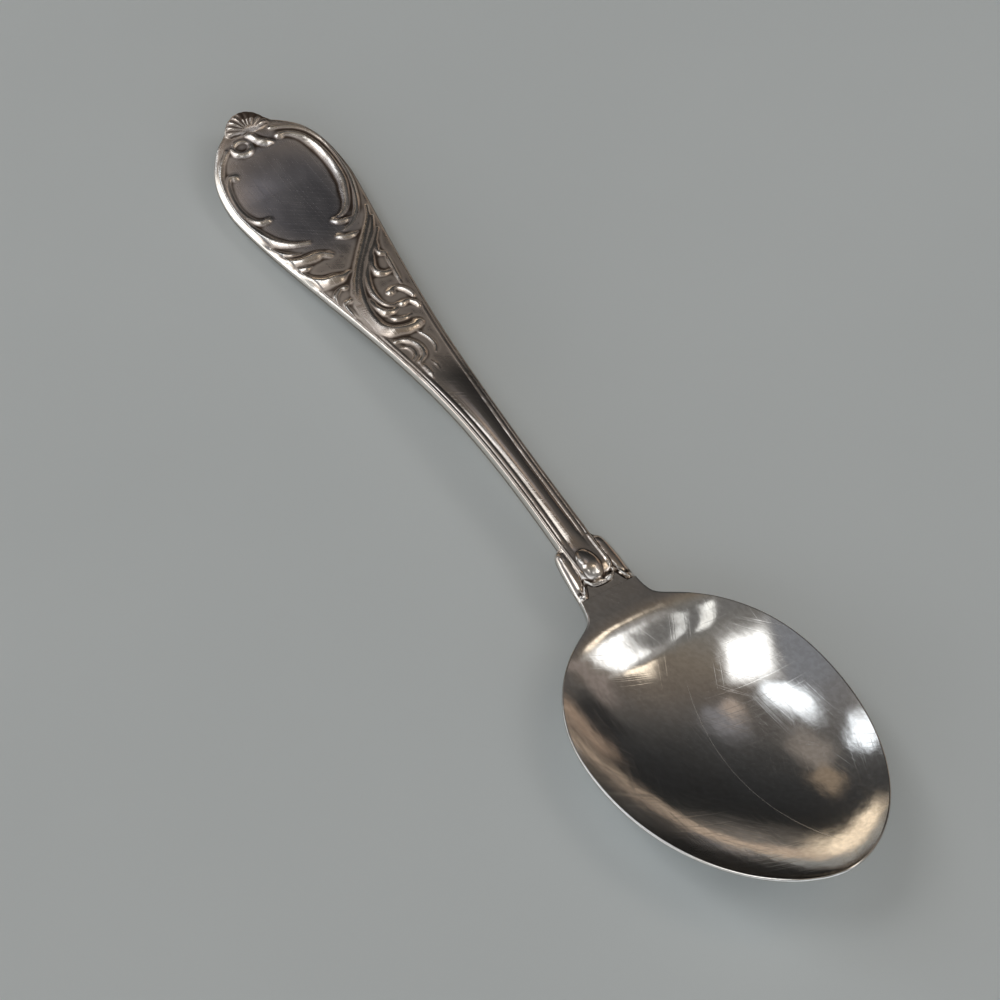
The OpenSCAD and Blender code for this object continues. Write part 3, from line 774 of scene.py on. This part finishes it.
def front_lip(y):
    """How far the lips reach past the handle's end: two side lips and a shorter middle one."""
    aside = np.abs(y) - 0.8 * DROP_W
    side = smooth(aside / 1.5)
    rounding = mix((y / 2.6) ** 2, ((np.abs(y) - 4.4) / 1.3) ** 2, side)
    return LOBE_REACH * side - np.exp(-((aside / 0.6) ** 2)) - 0.4 * np.minimum(1, rounding)


def ridge(distance, radius):
    return np.maximum(0, 1 - (distance / radius) ** 2)


def blurred(a, times):
    """The grid after this many rounds of averaging each point with its four neighbours."""
    for _ in range(times):
        b = np.pad(a, 1, mode="edge")
        a = (b[1:-1, 1:-1] + b[:-2, 1:-1] + b[2:, 1:-1] + b[1:-1, :-2] + b[1:-1, 2:]) / 5
    return a


def front_rise(s, y):
    """Height of the front above the seam, and how much of it is ornament."""
    half = stem_half(np.maximum(s, 3))
    inward = half - np.abs(y)
    field = stem_fill(s, y, mix(8, 6, smooth((s - 40) / 30)))
    stem_run = 1 - smooth((s - STEM_END_S) / 3)
    inner_s = np.where(y > 0, INNER_THREAD_FAR_S, INNER_THREAD_NEAR_S)
    outer_thread = smooth((s - OUTER_THREAD_S) / 5) * stem_run * ridge(inward - OUTER_THREAD, THREAD_HALF)
    inner_thread = smooth((s - inner_s) / 1.2) * stem_run * ridge(inward - INNER_THREAD, THREAD_HALF)
    threads = THREAD_H * np.maximum(outer_thread, inner_thread)
    rib_run = RIB_H * smooth((s - RIB_S) / 10) * (1 - smooth((s - STEM_END_S) / 5))
    rib = rib_run * ridge(y, np.maximum(half - RIB_INSET, 0.3))
    egg = 1 - ((s - DROP_S) / DROP_LONG) ** 2 - ((y - DROP_Y) / DROP_WIDE) ** 2
    drop = DROP_H * np.maximum(0, egg) ** DROP_CURVE
    crown = CROWN_H * smooth((s - 4) / 6) * (1 - smooth((s - 50) / 20))
    crown = crown * np.maximum(0, 1 - np.where(y > 0, CROWN_FAR, 1) * (y / half) ** 2)
    struck = blurred(struck_relief(s, y), 2) * smooth((inward - 0.1) / 1.0)
    relief = np.maximum(np.maximum(struck, threads), np.maximum(rib, drop))
    stem = front_h(s) * field + crown * field + relief * smooth((field - 0.2) / 0.6)
    fan = np.hypot(y, s - FAN_S)
    flutes = 1 - np.abs(np.cos(SHELL_RIBS * np.arctan2(y, FAN_S - s))) ** FLUTE_CURVE
    plain_shell = SHELL_FRONT * shell_fill(s, y)
    shell = plain_shell * (1 - FLUTE_SHARE * flutes * smooth(fan / 2.5))
    puff = PUFF_H * ridge(np.abs(y) - PUFF_Y, PUFF_HALF) * smooth((s - LOBE_S - 0.3) / 2.5)
    mouth = lobe_fill(s, y, LOBE_EDGE)
    plain = np.maximum(np.maximum((front_h(s) + crown) * field, plain_shell), LOBE_BASE * mouth)
    rise = np.maximum(np.maximum(stem, shell), (LOBE_BASE + puff) * mouth)
    return rise, rise - plain


def front_rings():
    """Rings along the handle, embossed face and then cavity, with marks for the finish and its painted edge
    light.
    """
    roll_s = HANDLE_LEN - LIP_ROLL
    rows = np.concatenate([tip_rows(40), span(SHELL_R, 80, 430), span(80, LOBE_S - 2, 66),
                           span(LOBE_S - 2, LOBE_S, 8), span(LOBE_S, roll_s, 56),
                           HANDLE_LEN - LIP_ROLL * (1 - np.sin(np.pi / 2 * span(0, 1, 6)))])
    flat = np.linspace(-1, 1, 121)
    v = mix(flat, np.sin(np.pi / 2 * flat), 0.6)
    s = rows[:, None] + lip_share(rows)[:, None] * front_lip(v * COLLAR_W / 2)
    y = v * handle_half(s)
    left = (HANDLE_LEN - rows)[:, None]
    fall = mix(0.85, 0.4, smooth((np.abs(y) - 2.8) / 0.8)) * smooth(1 - left / 4)
    bead = (0.18 * np.exp(-(((left - 0.5) / 0.3) ** 2))
            - 0.12 * np.exp(-(((left - 1.2) / 0.35) ** 2)))
    rise, raised = front_rise(s, y)
    rise = rise - fall + bead
    raised = raised + bead
    # What stands above its surroundings is worn bright. The near edge gets a painted highlight and the far
    # edge painted shade.
    standing = clamp01(0.5 + (raised - blurred(raised, WEAR_BLUR)) / WEAR_RANGE)
    # Painted highlight along the near edge, which faces the light
    near_edge_highlight = EDGE_HIGHLIGHT * smooth((-v - 0.9) / 0.06)
    # Painted shade along the far edge of the stem
    shaded = 1 - EDGE_SHADE * (1 - smooth((stem_half(s) - y - 0.2) / 0.4)) * (s < LOBE_S)
    wear_and_edge_light = np.maximum(standing, near_edge_highlight) * shaded
    stem = smooth((s - 74) / 8)
    blank = 1 - clamp01(((s - BLANK_S) / BLANK_LONG) ** 2 + ((y - BLANK_Y) / BLANK_WIDE) ** 2 - 0.4)
    floor = np.minimum(rise, cavity_front(s) * cavity_share(s, y) + 0.15)
    roll = np.sqrt(1 - clamp01(1 - left / LIP_ROLL) ** 2)
    outer = np.stack([s, y - lean(s), seam_z(s) + SEAM_GAP / 2 + mix(floor, rise, roll)], 2)
    inner = cavity_face(rows, front_lip, v[::-4], 1)
    rings = np.concatenate([outer, inner], 1)
    # One more ring lays the outer face's end on the cavity's end, which closes the lips
    end = inner[-1, ::-1]
    seal = np.stack([np.interp(v, v[::4], end[:, k]) for k in range(3)], 1)
    rings = np.concatenate([rings, np.concatenate([seal, inner[-1]])[None]])
    pad = ((0, 1), (0, inner.shape[1]))
    marks = {"wear_and_edge_light": np.pad(wear_and_edge_light, pad), "blank": np.pad(blank, pad),
             "stem": np.pad(stem, pad, mode="edge")}
    return rings, marks


def struck_silver():
    """Silver toned by the mesh's marks: bright where worn and on the near edge's painted highlight, brown in
    recesses and in the far edge's painted shade, grey on the blank field.
    """
    material, shader, place = new_material("struck_silver")
    wear_and_edge_light, blank, stem = (place.add("ShaderNodeAttribute", {"attribute_name": mark}, {}, 2)
                         for mark in ("wear_and_edge_light", "blank", "stem"))
    cloud = place.noise((0.005, 0.003, 0.003), 4.0)
    speck = place.noise((0.0005, 0.0005, 0.0005), 3.0)
    lines = place.hairlines(0.06, 0.0009, 0.05, 0.03) + place.hairlines(0.04, 0.001, 0.9, 0.02)
    tone = wear_and_edge_light + (cloud - 0.5) * 0.3 + (speck - 0.5) * 0.08
    grey = cloud.between(0.3, 0.7).blend(rgba(0.54, 0.53, 0.56), rgba(0.66, 0.645, 0.675))
    field = stem.blend(blank.blend(rgba(0.68, 0.59, 0.52), grey), rgba(0.78, 0.71, 0.65))
    # Dark brown where the tone is low: tarnish in the recesses and painted shade on the far edge. Cream
    # where it is high: worn high places and the painted highlight on the near edge
    low = tone.between(0.05, 0.45).blend(rgba(0.12, 0.09, 0.072), field)
    colour = tone.between(0.5, 0.85).blend(low, rgba(0.95, 0.91, 0.86))
    tarnish = tone.between(0.7, 0.3) * (1 - blank) * (1 - stem)
    plug(shader, Base_Color=colour, Metallic=1 - tarnish * 0.4 - blank * 0.04,
         Specular_Tint=rgba(0.4, 0.36, 0.33),
         Roughness=0.13 + tarnish * 0.22 + blank * 0.04 - stem * 0.03 + cloud * 0.06 + lines * 0.05,
         Normal=place.add("ShaderNodeBump", {}, {"Height": lines * 0.4 + speck * 0.3, "Strength": 0.12,
                                                 "Distance": 0.0001}))
    return material


front_points, front_marks = front_rings()
front = ring_piece("handle_front_shell", front_points, 55, front_marks)
front.data.materials.append(struck_silver())
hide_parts("handle_front")

# Floor, light and camera
# A plain pale table top under a studio dome, dark ahead of the viewer, with soft boxes in it.
# The camera stands where the photograph was taken from.
VIEW_UP = math.radians(52.4)
VIEW_ROUND = math.radians(58.76)
VIEW_DISTANCE = 0.552
BOX_FADE = 1.3
BOX_FULL = 0.5

floor_bm = bmesh.new()
bmesh.ops.create_grid(floor_bm, x_segments=2, y_segments=2, size=2.0)
floor_mesh = bpy.data.meshes.new("table_top")
floor_bm.to_mesh(floor_mesh)
floor_bm.free()
floor = bpy.data.objects.new("table_top", floor_mesh)
bpy.context.scene.collection.objects.link(floor)


def table_grey():
    material, shader, place = new_material("table_grey")
    cloud = place.noise((0.12, 0.12, 0.12), 3.0)
    colour = cloud.between(0.3, 0.7).blend(rgba(0.80, 0.845, 0.85), rgba(0.77, 0.815, 0.82))
    plug(shader, Base_Color=colour, Roughness=0.3 + cloud * 0.1, Specular_IOR_Level=0.3)
    return material


floor.data.materials.append(table_grey())

away = (-math.sin(VIEW_ROUND), math.cos(VIEW_ROUND), 0)
right = (math.cos(VIEW_ROUND), math.sin(VIEW_ROUND), 0)


def heading(tilt, turn):
    """Direction this many degrees from straight up, turned from straight ahead to the viewer's right."""
    tilt, turn = math.radians(tilt), math.radians(turn)
    ahead, aside = math.sin(tilt) * math.cos(turn), math.sin(tilt) * math.sin(turn)
    return (ahead * away[0] + aside * right[0], ahead * away[1] + aside * right[1], math.cos(tilt))


# The dome's colours from straight behind the viewer, 0, to straight ahead, 1. The two ends come first.
DOME_STOPS = [
    (0.0, rgba(0.20, 0.19, 0.18)), (1.0, rgba(0.26, 0.21, 0.17)), (0.25, rgba(0.22, 0.22, 0.22)),
    (0.36, rgba(0.16, 0.155, 0.15)), (0.417, rgba(0.19, 0.18, 0.165)), (0.45, rgba(0.20, 0.18, 0.155)),
    (0.5, rgba(0.19, 0.16, 0.128)), (0.583, rgba(0.145, 0.122, 0.102)), (0.64, rgba(0.12, 0.108, 0.098)),
    (0.7, rgba(0.085, 0.081, 0.077)), (0.75, rgba(0.052, 0.051, 0.05)),
    (0.806, rgba(0.032, 0.032, 0.032)), (0.861, rgba(0.022, 0.022, 0.022)),
    (0.9, rgba(0.022, 0.022, 0.021)), (0.925, rgba(0.10, 0.09, 0.08)), (0.95, rgba(0.19, 0.17, 0.15)),
]

# Soft boxes of the dome: tilt, turn, half sizes along the tilt and the turn in degrees, colour.
# A later box covers an earlier one.
SOFT_BOXES = [
    [63, 44, 9, 11, rgba(0.03, 0.03, 0.03)],
    [51, 68, 7, 13, rgba(0.27, 0.228, 0.205)],
    [55, -92, 14, 24, rgba(0.21, 0.215, 0.23)],
    [33, -18, 8, 8, rgba(0.23, 0.222, 0.23)],
    [56, -43, 8, 7, rgba(0.24, 0.21, 0.185)],
    [30, -30, 5, 5, rgba(0.45, 0.37, 0.31)],
    [65, -35, 5, 5, rgba(0.26, 0.20, 0.145)],
    [78, 42, 5, 12, rgba(0.38, 0.28, 0.21)],
    [88, 8, 3.5, 38, rgba(0.58, 0.45, 0.34)],
    [86, -23, 4, 14, rgba(1.4, 1.15, 0.85)],
    [28, -92, 13, 12, rgba(2.0, 2.0, 1.98)],
    [93, -98, 20, 34, rgba(1.8, 1.78, 1.74)],
    [45.5, -62, 10, 4.7, rgba(1.8, 1.9, 2.0)],
    [71, -57, 5, 5, rgba(1.7, 1.8, 1.9)],
    [38, 88, 7, 10, rgba(0.55, 0.52, 0.48)],
    [31, 112, 6, 9, rgba(0.33, 0.315, 0.30)],
    [44, 103, 9, 10, rgba(1.9, 1.9, 1.88)],
    [28.5, 79, 8, 5, rgba(1.7, 1.45, 1.15)],
    [25, -170, 4, 6, rgba(1.4, 1.4, 1.35)],
    [32, 143, 4, 5, rgba(0.9, 0.9, 0.88)],
    [70, 180, 18, 55, rgba(0.95, 1.0, 1.05)],
]


def soft_sky():
    """A studio dome: dark ahead of the viewer, a warm strip at the horizon, and soft boxes."""
    world = bpy.data.worlds.new("soft_sky")
    world.use_nodes = True
    tree = world.node_tree
    place = Shade(tree).add("ShaderNodeTexCoord")

    def along(axis):
        return place.add("ShaderNodeVectorMath", {"operation": "DOT_PRODUCT"}, {0: place, 1: axis}, 1)

    sky = place.add("ShaderNodeValToRGB", {"stops": DOME_STOPS},
                    {0: place.math("ARCSINE", along(away)) * (1 / math.pi) + 0.5})
    for tilt, turn, tall, wide, colour in SOFT_BOXES:
        centre = heading(tilt, turn)
        up = heading(tilt - 90, turn)
        side = heading(90, turn + 90)
        rise, reach = math.sin(math.radians(tall)), math.sin(math.radians(wide))
        mask = (abs(along(up)).between(BOX_FADE * rise, BOX_FULL * rise)
                * abs(along(side)).between(BOX_FADE * reach, BOX_FULL * reach)
                * along(centre).between(0.0, 0.1))
        sky = mask.blend(sky, colour)
    background = tree.nodes["Background"]
    tree.links.new(sky.socket, background.inputs["Color"])
    background.inputs["Strength"].default_value = 1.0
    bpy.context.scene.world = world


soft_sky()

camera_data = bpy.data.cameras.new("photo_camera")
camera_data.sensor_width = 36
camera_data.lens = 110.77
camera_data.shift_x = -0.0143
camera_data.shift_y = -0.00505
camera = bpy.data.objects.new("photo_camera", camera_data)
bpy.context.scene.collection.objects.link(camera)
camera.location = (VIEW_DISTANCE * math.cos(VIEW_UP) * math.sin(VIEW_ROUND),
                   -VIEW_DISTANCE * math.cos(VIEW_UP) * math.cos(VIEW_ROUND),
                   VIEW_DISTANCE * math.sin(VIEW_UP))
camera.rotation_euler = (math.pi / 2 - VIEW_UP, 0, VIEW_ROUND)
bpy.context.scene.camera = camera
bpy.context.scene.view_settings.view_transform = "Standard"
